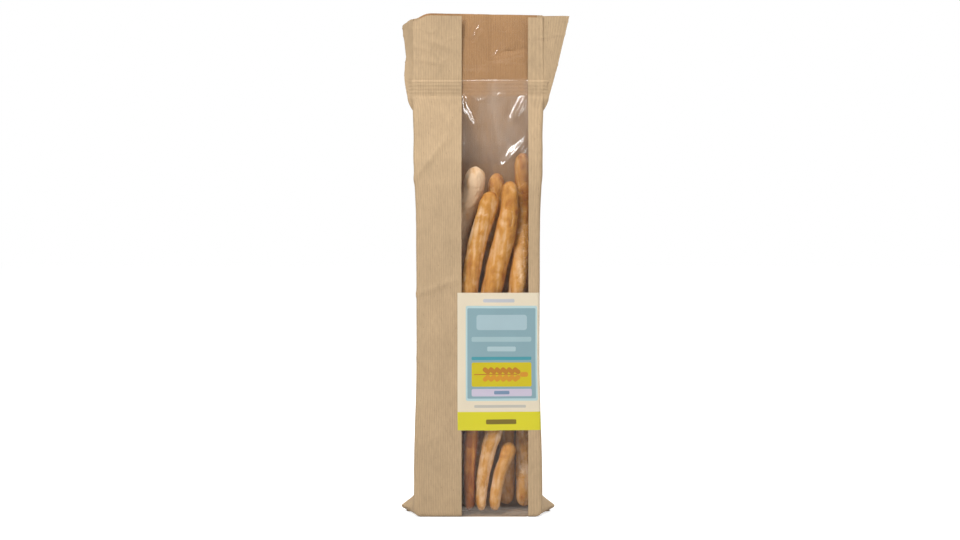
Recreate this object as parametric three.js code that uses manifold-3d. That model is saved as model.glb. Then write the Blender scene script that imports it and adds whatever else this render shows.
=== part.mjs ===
// Grissini in a windowed paper bag.
// A side-gusseted kraft paper bag stands on its squared base. A clear film strip runs up its front from
// the base to the mouth, the bag is heat sealed across below the mouth, and a label is stuck over the film
// and the paper. Ten breadsticks stand inside in two rows, most of them leaning the same way.
// Millimetres, +Z up, the front faces -Y. The origin is the middle of the base, on the surface it rests on.

import * as THREE from "three";
import { mergeVertices } from "three/addons/utils/BufferGeometryUtils.js";
import Module from "manifold-3d";

const wasm = await Module();
wasm.setup();

// ---- Driving dimensions ----

const BAG = {
  height: 392, // base to the back edge of the mouth
  width: 100, // front panel, side crease to side crease, at the base and at the shoulder
  waist: 95.5, // the same where the sticks push the front and back apart
  depth: 37, // front to back along the creases
  crown: 1.6, // how far the middle of a panel stands out from its creases
  slack: 0.5, // waviness of the front and back panels; twice as much above the sticks
  cornerRadius: 3.6,
  ply: 0.8, // wall; stands for paper and film of about 0.1 mm
  pleat: 3, // how far the centre crease of a side panel is drawn in
  tuck: 7, // the same at its deepest, under the seal
};
const SHOULDER_Z = 258; // the front and back start to close on each other here
const SEAL = { bottom: 328, top: 342, thickness: 2.4 }; // heat-sealed band
const MOUTH = { thickness: 4.6, frontDrop: 2.5, tilt: 0.02 }; // open edge above the seal; the front is cut lower
const CURL = { reach: 16, drop: 4, back: 3.5 }; // the mouth's left corner hangs down and back
const WINDOW = { left: -12.7, right: 38.9, bottom: 1.6 }; // film strip between its paper edges
// The label's right edge goes round the corner of the bag by the angle turned.
const LABEL = { left: -15.8, turn: 60, bottom: 68.5, top: 175, clearance: 0.6, thickness: 0.6 };
const EAR = { width: 12, height: 14, sweep: 20 }; // folded gusset corners beside the base
// The gussets splay out beside the mouth. The sweeps are angles back from straight out.
const FLARE = { width: 20.5, start: 296, sweepRight: 8, sweepLeft: 63, droop: 0.35 };
const BASE_EDGE = 1.6; // rounding of the edge between the base and the sides
const GAP = 0.3; // clearance between touching pieces
const PANEL_COLUMNS = 12;
const STRIP_COLUMNS = 8;
const STICK_SIDES = 14;
const STICK_RINGS = 20;

// ---- Small helpers ----

const radians = THREE.MathUtils.degToRad;

// A smooth value along z through stations [z, value].
function along(z, stations) {
  if (z <= stations[0][0]) return stations[0][1];
  for (let i = 1; i < stations.length; i++) {
    const [z0, v0] = stations[i - 1];
    const [z1, v1] = stations[i];
    if (z <= z1) return THREE.MathUtils.lerp(v0, v1, THREE.MathUtils.smoothstep(z, z0, z1));
  }
  return stations[stations.length - 1][1];
}

// The same with straight runs between the stations.
function straight(z, stations) {
  if (z <= stations[0][0]) return stations[0][1];
  for (let i = 1; i < stations.length; i++) {
    const [z0, v0] = stations[i - 1];
    const [z1, v1] = stations[i];
    if (z <= z1) return THREE.MathUtils.mapLinear(z, z0, z1, v0, v1);
  }
  return stations[stations.length - 1][1];
}

function geometryOf(points, triangles) {
  const geometry = new THREE.BufferGeometry();
  const coordinates = points.flatMap((p) => [p.x, p.y, p.z]);
  geometry.setAttribute("position", new THREE.Float32BufferAttribute(coordinates, 3));
  geometry.setIndex(triangles.flat());
  return geometry;
}

function solidOf(geometry) {
  const bare = geometry.clone();
  bare.deleteAttribute("normal");
  bare.deleteAttribute("uv");
  const merged = mergeVertices(bare, 1e-4);
  return new wasm.Manifold(
    new wasm.Mesh({
      numProp: 3,
      vertProperties: new Float32Array(merged.attributes.position.array),
      triVerts: new Uint32Array(merged.index.array),
    }),
  );
}

function geometryFrom(solid) {
  const mesh = solid.getMesh();
  const geometry = new THREE.BufferGeometry();
  geometry.setAttribute("position", new THREE.BufferAttribute(mesh.vertProperties, 3));
  geometry.setIndex(new THREE.BufferAttribute(mesh.triVerts, 1));
  return geometry.toNonIndexed();
}

function boxSolid(low, high) {
  const size = high.map((h, i) => h - low[i]);
  const box = new THREE.BoxGeometry(...size);
  box.translate(...low.map((l, i) => l + size[i] / 2));
  return solidOf(box);
}

// A closed solid through rings of equally many points, anticlockwise seen from above, lowest ring first.
function loft(rings) {
  const count = rings[0].length;
  const points = rings.flat();
  const triangles = [];
  for (let j = 0; j + 1 < rings.length; j++) {
    for (let i = 0; i < count; i++) {
      const a = j * count + i;
      const b = j * count + ((i + 1) % count);
      triangles.push([a, b, b + count], [a, b + count, a + count]);
    }
  }
  for (const [ring, first, up] of [
    [rings[0], 0, false],
    [rings[rings.length - 1], (rings.length - 1) * count, true],
  ]) {
    const flat = ring.map((p) => new THREE.Vector2(p.x, p.y));
    for (const [a, b, c] of THREE.ShapeUtils.triangulateShape(flat, [])) {
      triangles.push(up ? [first + a, first + b, first + c] : [first + a, first + c, first + b]);
    }
  }
  return geometryOf(points, triangles);
}

function meshNamed(name, geometry, material) {
  const mesh = new THREE.Mesh(geometry, material);
  mesh.name = name;
  return mesh;
}

// ---- Materials ----

const kraftPaper = new THREE.MeshStandardMaterial({ color: 0xc4a47b, roughness: 0.85, metalness: 0 });
const clearFilm = new THREE.MeshStandardMaterial({
  color: 0xe8e4de,
  roughness: 0.12,
  metalness: 0,
  transparent: true,
  opacity: 0.35,
});
const labelPaper = new THREE.MeshStandardMaterial({ color: 0xe6dcc8, roughness: 0.5, metalness: 0 });
const bakedCrust = new THREE.MeshStandardMaterial({ color: 0xbd8a4e, roughness: 0.8, metalness: 0 });

// ---- The bag's form ----

const halfWidth = (z) =>
  along(z, [
    [0, BAG.width / 2 - 2],
    [5, BAG.width / 2],
    [20, BAG.width / 2],
    [130, BAG.waist / 2],
    [225, BAG.waist / 2],
    [290, BAG.width / 2],
  ]);

const halfDepth = (z) =>
  z < SHOULDER_Z
    ? straight(z, [
        [0, BAG.depth / 2 - 0.7 * BASE_EDGE],
        [BASE_EDGE, BAG.depth / 2],
      ])
    : straight(z, [
        [SHOULDER_Z, BAG.depth / 2],
        [SHOULDER_Z + 18, BAG.depth / 2 - 2.2],
        [SEAL.bottom, SEAL.thickness / 2],
        [SEAL.top, SEAL.thickness / 2],
        [BAG.height, MOUTH.thickness / 2],
      ]);

const crownAt = (z) =>
  along(z, [
    [4, 0],
    [50, BAG.crown],
    [SHOULDER_Z, BAG.crown],
    [SEAL.bottom - 4, 0],
  ]);

// Slow waves of the loose paper and film; none at the side creases, at the base and in the seal.
function slackAt(u, z, sy) {
  const depth = straight(z, [
    [10, 0],
    [70, BAG.slack],
    [SHOULDER_Z, BAG.slack],
    [SHOULDER_Z + 26, 2 * BAG.slack],
    [SEAL.bottom - 6, 0],
  ]);
  const wave = 0.6 * Math.sin(6.2 * u + z / 23 + 2 * sy) + 0.4 * Math.sin(9.1 * u - z / 13 + sy);
  return depth * wave * (1 - u ** 4);
}

const cornerRadius = (z) => Math.min(BAG.cornerRadius, 0.75 * halfDepth(z) - 0.55);

const pleatAt = (z) =>
  along(z, [
    [EAR.height, 0],
    [60, BAG.pleat],
    [SHOULDER_Z, BAG.pleat],
    [FLARE.start + 4, BAG.tuck],
    [SEAL.bottom - 2, 0],
  ]);

// How far the folded gusset stands out beside the bag: as ears at the base and as a flare at the mouth.
const finAt = (z) =>
  z < SHOULDER_Z
    ? straight(z, [
        [0, 0.7 * EAR.width],
        [BASE_EDGE, EAR.width],
        [4, EAR.width],
        [EAR.height, 0],
      ])
    : straight(z, [
        [FLARE.start, 0],
        [SEAL.bottom, 4.5],
        [SEAL.top, 8.5],
        [BAG.height, FLARE.width],
      ]);

// The share of a side panel's half depth from which its fold stands out: nearly all of it in the ears, which
// are three-sided, and none above them.
const finRootAt = (z) =>
  straight(z, [
    [EAR.height, 0.85],
    [EAR.height + 10, 0],
  ]);

const sweepAt = (z, topSweep) =>
  radians(
    z < SHOULDER_Z
      ? EAR.sweep
      : straight(z, [
          [SEAL.bottom, topSweep / 3],
          [SEAL.top + 20, topSweep],
        ]),
  );

// Above the seal the plies lean: the edge runs slightly downhill to the right and the left corner curls.
function mouthSet(point, z) {
  const lift = Math.max(0, (z - SEAL.top) / (BAG.height - SEAL.top));
  const side = THREE.MathUtils.smoothstep(-point.x, BAG.width / 2 - CURL.reach, BAG.width / 2);
  point.z -= lift * (MOUTH.tilt * point.x + CURL.drop * side ** 2);
  point.y += lift * CURL.back * side ** 2;
  return point;
}

// One ring of the bag at height z, inset from its outer face. The outer ring carries the folded gussets.
function bagRing(z, inset, withFins) {
  const half = halfDepth(z) - inset;
  const side = halfWidth(z) - inset;
  const radius = Math.max(0.12, cornerRadius(z) - inset);
  const crown = crownAt(z);
  const fold = 0.5 * Math.min(BAG.ply, half - radius); // half the thickness of a folded gusset
  const pleat = side - pleatAt(z);
  const ring = [];
  const add = (x, y, drop = 0) => ring.push(mouthSet(new THREE.Vector3(x, y, z - drop), z));
  const corner = (sx, sy, angles) => {
    for (const degrees of angles) {
      const a = radians(degrees);
      add(sx * (side - radius + radius * Math.cos(a)), sy * (half - radius + radius * Math.sin(a)));
    }
  };
  const panel = (from, to, sy) => {
    for (let i = 1; i < PANEL_COLUMNS; i++) {
      const x = THREE.MathUtils.lerp(from, to, i / PANEL_COLUMNS);
      const u = x / (side - radius);
      add(x, sy * (half + crown * (1 - u * u) + slackAt(u, z, sy)));
    }
  };
  const gusset = (sx, topSweep) => {
    const outward = sweepAt(z, topSweep);
    const length = finAt(z) + 0.3;
    const tip = { x: sx * (pleat + length * Math.cos(outward)), y: length * Math.sin(outward) };
    const lift = Math.max(0, (z - SEAL.top) / (BAG.height - SEAL.top));
    const drop = sx < 0 ? FLARE.droop * lift * length * Math.cos(outward) : 0;
    const across = { x: 0.5 * fold * Math.sin(outward), y: 0.5 * fold * Math.cos(outward) };
    const root = THREE.MathUtils.lerp(fold, half - radius, finRootAt(z));
    const points = [
      [sx * pleat, -root, 0],
      [tip.x + sx * across.x, tip.y - across.y, drop],
      [tip.x - sx * across.x, tip.y + across.y, drop],
      [sx * pleat, root, 0],
    ];
    for (const [x, y, fall] of sx > 0 ? points : points.reverse()) add(x, y, fall);
  };
  panel(-side + radius, side - radius, -1);
  corner(1, -1, [90, 45, 0]);
  if (withFins) gusset(1, FLARE.sweepRight);
  else add(pleat, 0);
  corner(1, 1, [0, 45, 90]);
  panel(side - radius, -side + radius, 1);
  corner(-1, 1, [90, 45, 0]);
  if (withFins) gusset(-1, FLARE.sweepLeft);
  else add(-pleat, 0);
  corner(-1, -1, [0, 45, 90]);
  return ring;
}

// A point over the bag's front, this far outside its outer face. Past the side crease it goes on round the
// corner by the angle turned.
function overFront(x, z, outside, turned = 0) {
  const radius = cornerRadius(z);
  const reach = halfWidth(z) - radius;
  if (turned > 0) {
    const a = radians(turned);
    const r = radius + outside;
    return new THREE.Vector3(reach + r * Math.sin(a), radius - halfDepth(z) - r * Math.cos(a), z);
  }
  const u = Math.min(x, reach) / reach;
  const y = -halfDepth(z) - crownAt(z) * (1 - u * u) - slackAt(u, z, -1) - outside;
  return mouthSet(new THREE.Vector3(u * reach, y, z), z);
}

// A thin piece over the front, from inner to outer, both measured outwards from the bag's outer face.
function frontStrip({ left, right, turns = [] }, heights, inner, outer) {
  const stops = [];
  for (let i = 0; i <= STRIP_COLUMNS; i++) {
    stops.push([THREE.MathUtils.lerp(left, right, i / STRIP_COLUMNS), 0]);
  }
  for (const turned of turns) stops.push([right, turned]);
  const ring = (z) => [
    ...stops.map(([x, turned]) => overFront(x, z, outer, turned)),
    ...[...stops].reverse().map(([x, turned]) => overFront(x, z, inner, turned)),
  ];
  return loft(heights.map(ring));
}

const evenly = (from, to, count) =>
  Array.from({ length: count }, (_, i) => THREE.MathUtils.lerp(from, to, i / count));

const BODY_HEIGHTS = [
  BASE_EDGE,
  4,
  8,
  ...evenly(EAR.height, SHOULDER_Z, 15),
  ...evenly(SHOULDER_Z, SEAL.bottom, 7),
];
const LIP_HEIGHTS = [SEAL.bottom, ...evenly(SEAL.top, BAG.height, 4)];
const HOLLOW_TOP = SEAL.bottom - 3.5; // the inside closes to a slit just below the seal

function paperBag() {
  const ply = BAG.ply;
  const heights = [0, ...BODY_HEIGHTS, ...LIP_HEIGHTS, BAG.height];
  const outer = solidOf(loft(heights.map((z) => bagRing(z, 0, true))));
  const insideHeights = [ply, ...BODY_HEIGHTS.slice(1), HOLLOW_TOP];
  const hollow = solidOf(loft(insideHeights.map((z) => bagRing(z, ply, false))));
  // The open mouth: a slot between the two plies that stops just short of the side creases.
  const mouthRing = (z) =>
    bagRing(Math.min(z, BAG.height), ply, false).map((p) => new THREE.Vector3(p.x * 0.985, p.y, z));
  const mouth = solidOf(loft([SEAL.top + 4, 365, BAG.height + 1].map(mouthRing)));
  const cutWindow = boxSolid([WINDOW.left, -60, WINDOW.bottom], [WINDOW.right, -0.1, BAG.height + 5]);
  const side = BAG.width / 2;
  const trim = boxSolid([-side, -60, BAG.height - MOUTH.frontDrop], [side, -0.1, BAG.height + 5]);
  return geometryFrom(outer.subtract(hollow).subtract(mouth).subtract(cutWindow).subtract(trim));
}

function windowFilm() {
  const bottom = WINDOW.bottom + GAP;
  const top = BAG.height - MOUTH.frontDrop - MOUTH.tilt * WINDOW.right - GAP;
  const heights = [bottom, ...BODY_HEIGHTS.slice(1), ...LIP_HEIGHTS, top];
  return frontStrip({ left: WINDOW.left + GAP, right: WINDOW.right - GAP }, heights, -BAG.ply, 0);
}

function label() {
  const between = BODY_HEIGHTS.filter((z) => z > LABEL.bottom && z < LABEL.top);
  const heights = [LABEL.bottom, ...between, LABEL.top];
  const right = BAG.waist / 2 - BAG.cornerRadius;
  const outside = LABEL.clearance + LABEL.thickness;
  const outline = { left: LABEL.left, right, turns: [22.5, 45, LABEL.turn] };
  return frontStrip(outline, heights, LABEL.clearance, outside);
}

// ---- The breadsticks ----

// Stations [x, y, z, radius] along the middle of each stick, from its foot to its tip. The first and the last
// station are the very ends. Sticks 2 to 5 and 10 make the front row, the others the back row.
const STICKS = [
  [
    [-36, 8.8, 4, 6.2], [-29, 8.8, 90, 7], [-20, 8.8, 180, 7.2], [-11.8, 6.8, 232, 7.8],
    [-3.4, 0.8, 256, 8.9], [-1.8, -2, 273, 8.9],
  ],
  [
    [-26, -9.4, 4, 6.2], [-18.5, -9.4, 80, 6.8], [-6.8, -9.7, 181, 7.2], [-2.4, -9.8, 206, 7.4],
    [3.2, -9.8, 227, 7.8], [11.2, -9.6, 253, 7.5],
  ],
  [
    [-6.8, -9, 4, 4.3], [-6.8, -9, 40, 4.6], [-1.4, -9.2, 98, 7], [11.4, -8.9, 181, 8.5],
    [17.8, -8.8, 206, 8.5], [22.6, -9, 226, 8], [24.8, -9.2, 243, 7.1], [25, -9.2, 261, 7.2],
  ],
  [
    [2.4, -10.6, 4, 4.3], [3.2, -10.8, 24, 4.5], [6, -10.2, 43, 5.6], [11.2, -9.8, 60, 7], [31, -9.2, 180, 6.9],
    [35.2, 1.2, 228, 6.5], [35, 2.6, 284, 6.4],
  ],
  [
    [13, -10, 4, 4.5], [15.4, -9.8, 26, 4.9], [26, -9.4, 57, 5.9],
  ],
  [
    [36.8, 2.6, 4, 6.8], [37, 5, 60, 7.1], [37.8, 9, 150, 6.9], [38.2, 9.2, 200, 6.8],
  ],
  [
    [-3.4, 8.8, 4, 6.4], [3, 8.8, 90, 6.9], [9.6, 8.8, 180, 6.8], [15.2, 8.4, 268, 7.3],
  ],
  [
    [-20.6, 8.8, 4, 6.4], [-13.2, 8.8, 90, 6.7], [-6.4, 8.8, 165, 6.3], [-4, 8.8, 192, 6],
  ],
  [
    [22.6, 9, 4, 6.5], [23, 9, 90, 6.6], [24, 9, 180, 6.4], [25, 9.2, 211, 6.2],
  ],
  [
    [-40, -9.2, 4, 6.2], [-35.4, -9.2, 70, 6.6], [-26, -9.2, 150, 6.5], [-22.2, -9.2, 178, 6.2],
  ],
];

// Hand-rolled dough: lumps round and along the stick, different for each one.
function lumps(turn, distance, seed) {
  return (
    0.03 * Math.sin(2 * turn + distance / 17 + 2.1 * seed) +
    0.025 * Math.sin(3 * turn - distance / 9 + 4.7 * seed) +
    0.035 * Math.sin(distance / 13 + 1.3 * seed)
  );
}

function stick(stations, seed) {
  const path = new THREE.CatmullRomCurve3(stations.map(([x, y, z]) => new THREE.Vector3(x, y, z)));
  const radii = stations.map(([, , z, radius]) => [z, radius]);
  const length = path.getLength();
  const rings = [];
  for (let j = 0; j <= STICK_RINGS; j++) {
    // Rings crowd towards the two round ends.
    const share = 0.5 - 0.5 * Math.cos((Math.PI * (j + 0.35)) / (STICK_RINGS + 0.7));
    const centre = path.getPointAt(share);
    const tangent = path.getTangentAt(share);
    const radius = along(centre.z, radii);
    const toEnd = Math.min(share, 1 - share) * length;
    const rounded = toEnd < radius ? Math.sqrt(1 - (1 - toEnd / radius) ** 2) : 1;
    const across = new THREE.Vector3(0, 1, 0).cross(tangent).normalize();
    const back = new THREE.Vector3().crossVectors(tangent, across);
    const ring = [];
    for (let i = 0; i < STICK_SIDES; i++) {
      const turn = (2 * Math.PI * i) / STICK_SIDES;
      const reach = radius * rounded * (1 + lumps(turn, share * length, seed));
      ring.push(
        centre
          .clone()
          .addScaledVector(across, reach * Math.cos(turn))
          .addScaledVector(back, reach * Math.sin(turn)),
      );
    }
    rings.push(ring);
  }
  return loft(rings);
}

// ---- The assembled pack ----

const pack = new THREE.Group();
pack.add(meshNamed("paper_bag", paperBag(), kraftPaper));
pack.add(meshNamed("window_film", windowFilm(), clearFilm));
pack.add(meshNamed("label", label(), labelPaper));
STICKS.forEach((stations, i) => pack.add(meshNamed(`grissino_${i + 1}`, stick(stations, i + 1), bakedCrust)));

export default pack;
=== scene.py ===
"""A bag of grissini breadsticks: the finished surfaces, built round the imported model.

The bag is a kraft paper tube with tucked side gussets. A strip of clear film takes the place of the paper in
part of its front, a label is stuck over film and paper, and ten hand-rolled breadsticks stand inside.
Sizes are millimetres while a shape is worked out and metres in its mesh. The front faces -Y.
"""

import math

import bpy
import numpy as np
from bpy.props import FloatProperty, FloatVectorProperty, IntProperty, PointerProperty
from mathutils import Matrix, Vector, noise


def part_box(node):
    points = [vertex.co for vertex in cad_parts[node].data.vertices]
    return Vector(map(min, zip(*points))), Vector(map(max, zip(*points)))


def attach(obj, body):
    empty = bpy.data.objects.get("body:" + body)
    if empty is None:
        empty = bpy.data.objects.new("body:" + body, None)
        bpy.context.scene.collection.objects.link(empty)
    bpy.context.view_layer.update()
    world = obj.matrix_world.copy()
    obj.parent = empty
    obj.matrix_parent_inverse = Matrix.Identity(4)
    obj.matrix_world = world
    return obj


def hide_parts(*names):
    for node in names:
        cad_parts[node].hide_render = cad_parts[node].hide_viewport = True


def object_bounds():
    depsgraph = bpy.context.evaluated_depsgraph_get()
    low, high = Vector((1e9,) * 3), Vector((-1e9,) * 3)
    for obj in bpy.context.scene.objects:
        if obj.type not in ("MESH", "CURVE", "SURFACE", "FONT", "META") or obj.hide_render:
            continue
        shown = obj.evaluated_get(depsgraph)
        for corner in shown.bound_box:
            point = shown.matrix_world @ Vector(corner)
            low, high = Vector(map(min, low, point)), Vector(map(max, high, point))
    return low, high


bl_info = {
    "name": "Bag of grissini breadsticks",
    "version": (1, 0, 0),
    "blender": (4, 5, 0),
    "location": "3D View > Sidebar > Grissini",
    "description": "Windowed kraft paper bag, its film, its label and the breadsticks in it",
    "category": "Add Mesh",
}

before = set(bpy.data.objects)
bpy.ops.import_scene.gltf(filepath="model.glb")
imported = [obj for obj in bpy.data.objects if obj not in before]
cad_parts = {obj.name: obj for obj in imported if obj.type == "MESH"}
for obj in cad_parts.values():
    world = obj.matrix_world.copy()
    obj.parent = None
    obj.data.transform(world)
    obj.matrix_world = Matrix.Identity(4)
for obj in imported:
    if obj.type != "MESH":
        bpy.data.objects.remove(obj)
CAD_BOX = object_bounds()

MM = 0.001
FILM_LOW, FILM_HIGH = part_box("window_film")
LABEL_LOW, LABEL_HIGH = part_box("label")
STICK_COUNT = sum(name.startswith("grissino_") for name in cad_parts)
WINDOW_SPARE = 0.0003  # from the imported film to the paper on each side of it, in metres
BOX_SPARE = (0.03, 0.01)  # share of a side, and metres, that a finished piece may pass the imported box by
SMOOTH_UNDER = math.radians(40)


# ---- Small helpers ----


def linear(colour):
    """An sRGB hex colour, such as "c4a47b", as linear red, green, blue and alpha."""
    shares = [int(colour[i : i + 2], 16) / 255 for i in (0, 2, 4)]
    return (*(c / 12.92 if c <= 0.04045 else ((c + 0.055) / 1.055) ** 2.4 for c in shares), 1.0)


def straight(z, stations):
    """The value at z on straight runs between stations (z, value)."""
    places, values = zip(*stations)
    return np.interp(z, places, values)


def along(z, stations):
    """The same with an eased run between each two stations."""
    places, values = zip(*stations)
    counts = np.arange(len(places))
    share = np.interp(z, places, counts)
    whole = np.minimum(np.floor(share), len(places) - 2)
    part = share - whole
    return np.interp(whole + part * part * (3 - 2 * part), counts, values)


def eased(value, low, high):
    """0 up to low, 1 from high on, smooth between."""
    share = np.clip((value - low) / (high - low), 0, 1)
    return share * share * (3 - 2 * share)


def waves(points, size, seed):
    """Smooth noise from -1 to 1 at each point. size is one wave's length along each axis."""
    shift = Vector((17.3 * seed, 5.1 * seed, 9.7 * seed))
    return np.array([noise.noise(Vector(p) + shift) for p in points / np.array(size, float)])


def deselect():
    bpy.ops.object.select_all(action="DESELECT")


def apply(piece, kind, **settings):
    """Adds a modifier with these settings and applies it."""
    modifier = piece.modifiers.new(kind.title(), kind)
    for name, value in settings.items():
        setattr(modifier, name, value)
    bpy.context.view_layer.objects.active = piece
    bpy.ops.object.modifier_apply(modifier=modifier.name)


def add_node(tree, kind, inputs=None, stops=None, **settings):
    """Adds a shader node. Each input gets a value, or a link from another node's output. A node stands for
    its first output."""
    made = tree.nodes.new("ShaderNode" + kind)
    for name, value in settings.items():
        setattr(made, name, value)
    for name, value in (inputs or {}).items():
        value = value.outputs[0] if isinstance(value, bpy.types.Node) else value
        if isinstance(value, bpy.types.NodeSocket):
            tree.links.new(value, made.inputs[name])
        else:
            made.inputs[name].default_value = value
    if stops:
        elements = made.color_ramp.elements
        while len(elements) < len(stops):
            elements.new(1)
        for element, (position, colour) in zip(elements, stops):
            element.position, element.color = position, colour
    return made


def new_material(name):
    """An empty node material and its tree."""
    material = bpy.data.materials.new(name)
    material.use_nodes = True
    material.node_tree.nodes.clear()
    return material, material.node_tree


def normals_of(points):
    """Unit normals of a grid of points [column, row], to the right of the way the columns run."""
    across = np.gradient(points, axis=0)
    up = np.gradient(points, axis=1)
    normal = np.cross(across, up)
    length = np.linalg.norm(normal, axis=2, keepdims=True)
    return normal / np.maximum(length, 1e-9)


def lengths(line):
    """How far along a line each of its points is."""
    steps = np.linalg.norm(np.diff(line, axis=0), axis=1)
    return np.concatenate([[0], np.cumsum(steps)])


def sheet(name, points, thickness, *materials):
    """A thin sheet through a grid of points [column, row] in millimetres. Its outside is where their normals
    point, its UV map is the flat sheet in metres, and a second material is its inside."""
    columns, rows = points.shape[:2]
    deselect()
    bpy.ops.mesh.primitive_grid_add(
        x_subdivisions=columns - 1, y_subdivisions=rows - 1, size=1, calc_uvs=True
    )
    piece = bpy.context.object
    piece.name = piece.data.name = name
    mesh = piece.data
    flat = np.empty(3 * len(mesh.vertices), np.float32)
    mesh.vertices.foreach_get("co", flat)
    flat = flat.reshape(-1, 3)
    column = np.rint((flat[:, 0] + 0.5) * (columns - 1)).astype(int)
    row = np.rint((flat[:, 1] + 0.5) * (rows - 1)).astype(int)
    mesh.vertices.foreach_set("co", (points[column, row] * MM).astype(np.float32).ravel())
    width = lengths(points[:, rows // 2])[column]
    height = lengths(points[columns // 2])[row]
    corner = np.empty(len(mesh.loops), np.int32)
    mesh.loops.foreach_get("vertex_index", corner)
    spread = np.stack([width[corner], height[corner]], axis=1) * MM
    mesh.uv_layers[0].data.foreach_set("uv", spread.astype(np.float32).ravel())
    mesh.update()
    middle = mesh.polygons[len(mesh.polygons) // 2]
    outside = normals_of(points)[column[middle.vertices[0]], row[middle.vertices[0]]]
    if middle.normal.dot(Vector(outside)) < 0:
        bpy.ops.object.mode_set(mode="EDIT")
        bpy.ops.mesh.select_all(action="SELECT")
        bpy.ops.mesh.flip_normals()
        bpy.ops.object.mode_set(mode="OBJECT")
    for material in materials:
        mesh.materials.append(material)
    apply(piece, "SOLIDIFY", thickness=thickness * MM, offset=-1.0, material_offset=len(materials) - 1)
    bpy.ops.object.shade_smooth_by_angle(angle=SMOOTH_UNDER)
    return piece


def finish_piece(piece, slot, *nodes):
    """Gives a finished piece its body and the nodes that it stands for, and checks its size. The slot
    argument is not used.
    """
    low, high = (Vector(c) for c in (piece.bound_box[0], piece.bound_box[6]))
    for axis in range(3):
        least, most = CAD_BOX[0][axis], CAD_BOX[1][axis]
        spare = BOX_SPARE[0] * (most - least) + BOX_SPARE[1]
        if low[axis] < least - spare or high[axis] > most + spare:
            raise RuntimeError(f"{piece.name} reaches outside the packed model")
    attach(piece, "root")
    if nodes:
        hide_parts(*nodes)


# ---- What a user would change ----


def size_setting(name, description, default, **more):
    return FloatProperty(name=name, description=description, default=default, unit="LENGTH", **more)


def colour_setting(name, description, default):
    return FloatVectorProperty(
        name=name, description=description, default=linear(default), size=4, subtype="COLOR"
    )


class GrissiniBagSizes(bpy.types.PropertyGroup):
    """Sizes of the bag, its film and its label."""

    height: size_setting("Height", "Base to the back edge of the mouth", 0.392)
    width: size_setting("Width", "Front panel at the base and at the seal", 0.1)
    waist: size_setting("Waist", "Front panel where the sticks fill the bag", 0.0955)
    depth: size_setting("Depth", "Front to back at the creases", 0.037)
    shoulder: size_setting("Shoulder", "Height where front and back start to close", 0.258)
    seal_bottom: size_setting("Seal bottom", "Lower edge of the heat seal", 0.328)
    seal_top: size_setting("Seal top", "Upper edge of the heat seal", 0.342)
    window_left: size_setting("Window left", "Left paper edge of the window", FILM_LOW.x - WINDOW_SPARE)
    window_right: size_setting("Window right", "Right paper edge of the window", FILM_HIGH.x + WINDOW_SPARE)
    label_left: size_setting("Label left", "Left edge of the label", LABEL_LOW.x)
    label_bottom: size_setting("Label bottom", "Lower edge of the label", LABEL_LOW.z)
    label_top: size_setting("Label top", "Upper edge of the label", LABEL_HIGH.z)
    paper: size_setting("Paper", "Thickness of the paper", 0.00025)
    film: size_setting("Film", "Thickness of the film", 0.00006)


class GrissiniColours(bpy.types.PropertyGroup):
    """Colours of the paper, the label and the crust."""

    kraft: colour_setting("Kraft paper", "Main colour of the paper", "b49a79")
    # The inside is the same kraft made darker: painted shade for the dim inside of the bag.
    kraft_inside_shade: colour_setting("Inside of the paper", "The outside's kraft made darker, as painted shade in the bag", "a67f56")
    label_ground: colour_setting("Label", "Bare border of the label", "dacdb4")
    label_panel: colour_setting("Label panel", "Large field of the label", "829fa6")
    label_band: colour_setting("Label band", "Yellow band at its foot", "cec522")
    crust_pale: colour_setting("Pale crust", "Crust that baked least", "f3d2ab")
    crust_gold: colour_setting("Golden crust", "Most of the crust", "cd9140")
    crust_brown: colour_setting("Brown crust", "Crust that baked most", "8a4c16")


class GrissiniStickSettings(bpy.types.PropertyGroup):
    """How the breadsticks are finished."""

    voxel: size_setting("Mesh size", "Face size of a stick's mesh", 0.0008, precision=4)
    relief: FloatProperty(
        name="Relief",
        description="Height of the lumps and stretch marks, 1 is as baked",
        default=1.0,
        subtype="FACTOR",
    )
    seed: IntProperty(name="Seed", description="Another number gives other lumps", default=3)


# ---- The bag's form, in millimetres ----

# Half the front's width: height, whether the waist counts there, and what is added.
WIDTHS = [
    (0, False, -2),
    (5, False, 0),
    (20, False, 0),
    (130, True, 0),
    (225, True, 0),
    (290, False, 0),
    (320, False, 1.2),
]
SHOULDER_ROUND = (18, 2.2)  # height over the shoulder, and the half depth lost by then
CROWN = 1.6  # how far the middle of front and back bulges
SLACK = 0.5  # height of the slow waves of front and back
SLACK_WAVES = ((0.6, 6.2, 23, 2), (0.4, 9.1, -13, 1))  # share, rate across, run upwards, shift by face
LOOSEST = 26  # over the shoulder, where the waves are twice as high
# The stiff folded base holds the plies flat. It lets go from the first of these heights to the second.
RELEASE = {"crown": (4, 50), "slack": (10, 70), "dents": (4, 30), "film": (8, 30)}
# The seal holds them flat again from this far under it.
SEAL_HOLD = {"crown": 4, "slack": 6, "dents": 3, "tuck": 2}
CREASE_RADIUS = 2.6
CREASE_SHARE, CREASE_SPARE = 0.75, 0.3  # keep that radius inside the half depth where the bag closes
PLEAT, PLEAT_FULL = 3, 60  # how far the gussets are folded in, and from what height on
TUCK, TUCK_RISE = 8, 6  # how far they are tucked in at the flare, and how far over its start
# An ear is the gusset's folded corner beside the base, undercut below its tip.
EAR = {
    "width": 12,
    "foot": 14.5,
    "tip": 4.5,
    "height": 14,
    "sweep": math.radians(20),
    "undercut": math.radians(39),
}
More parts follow.
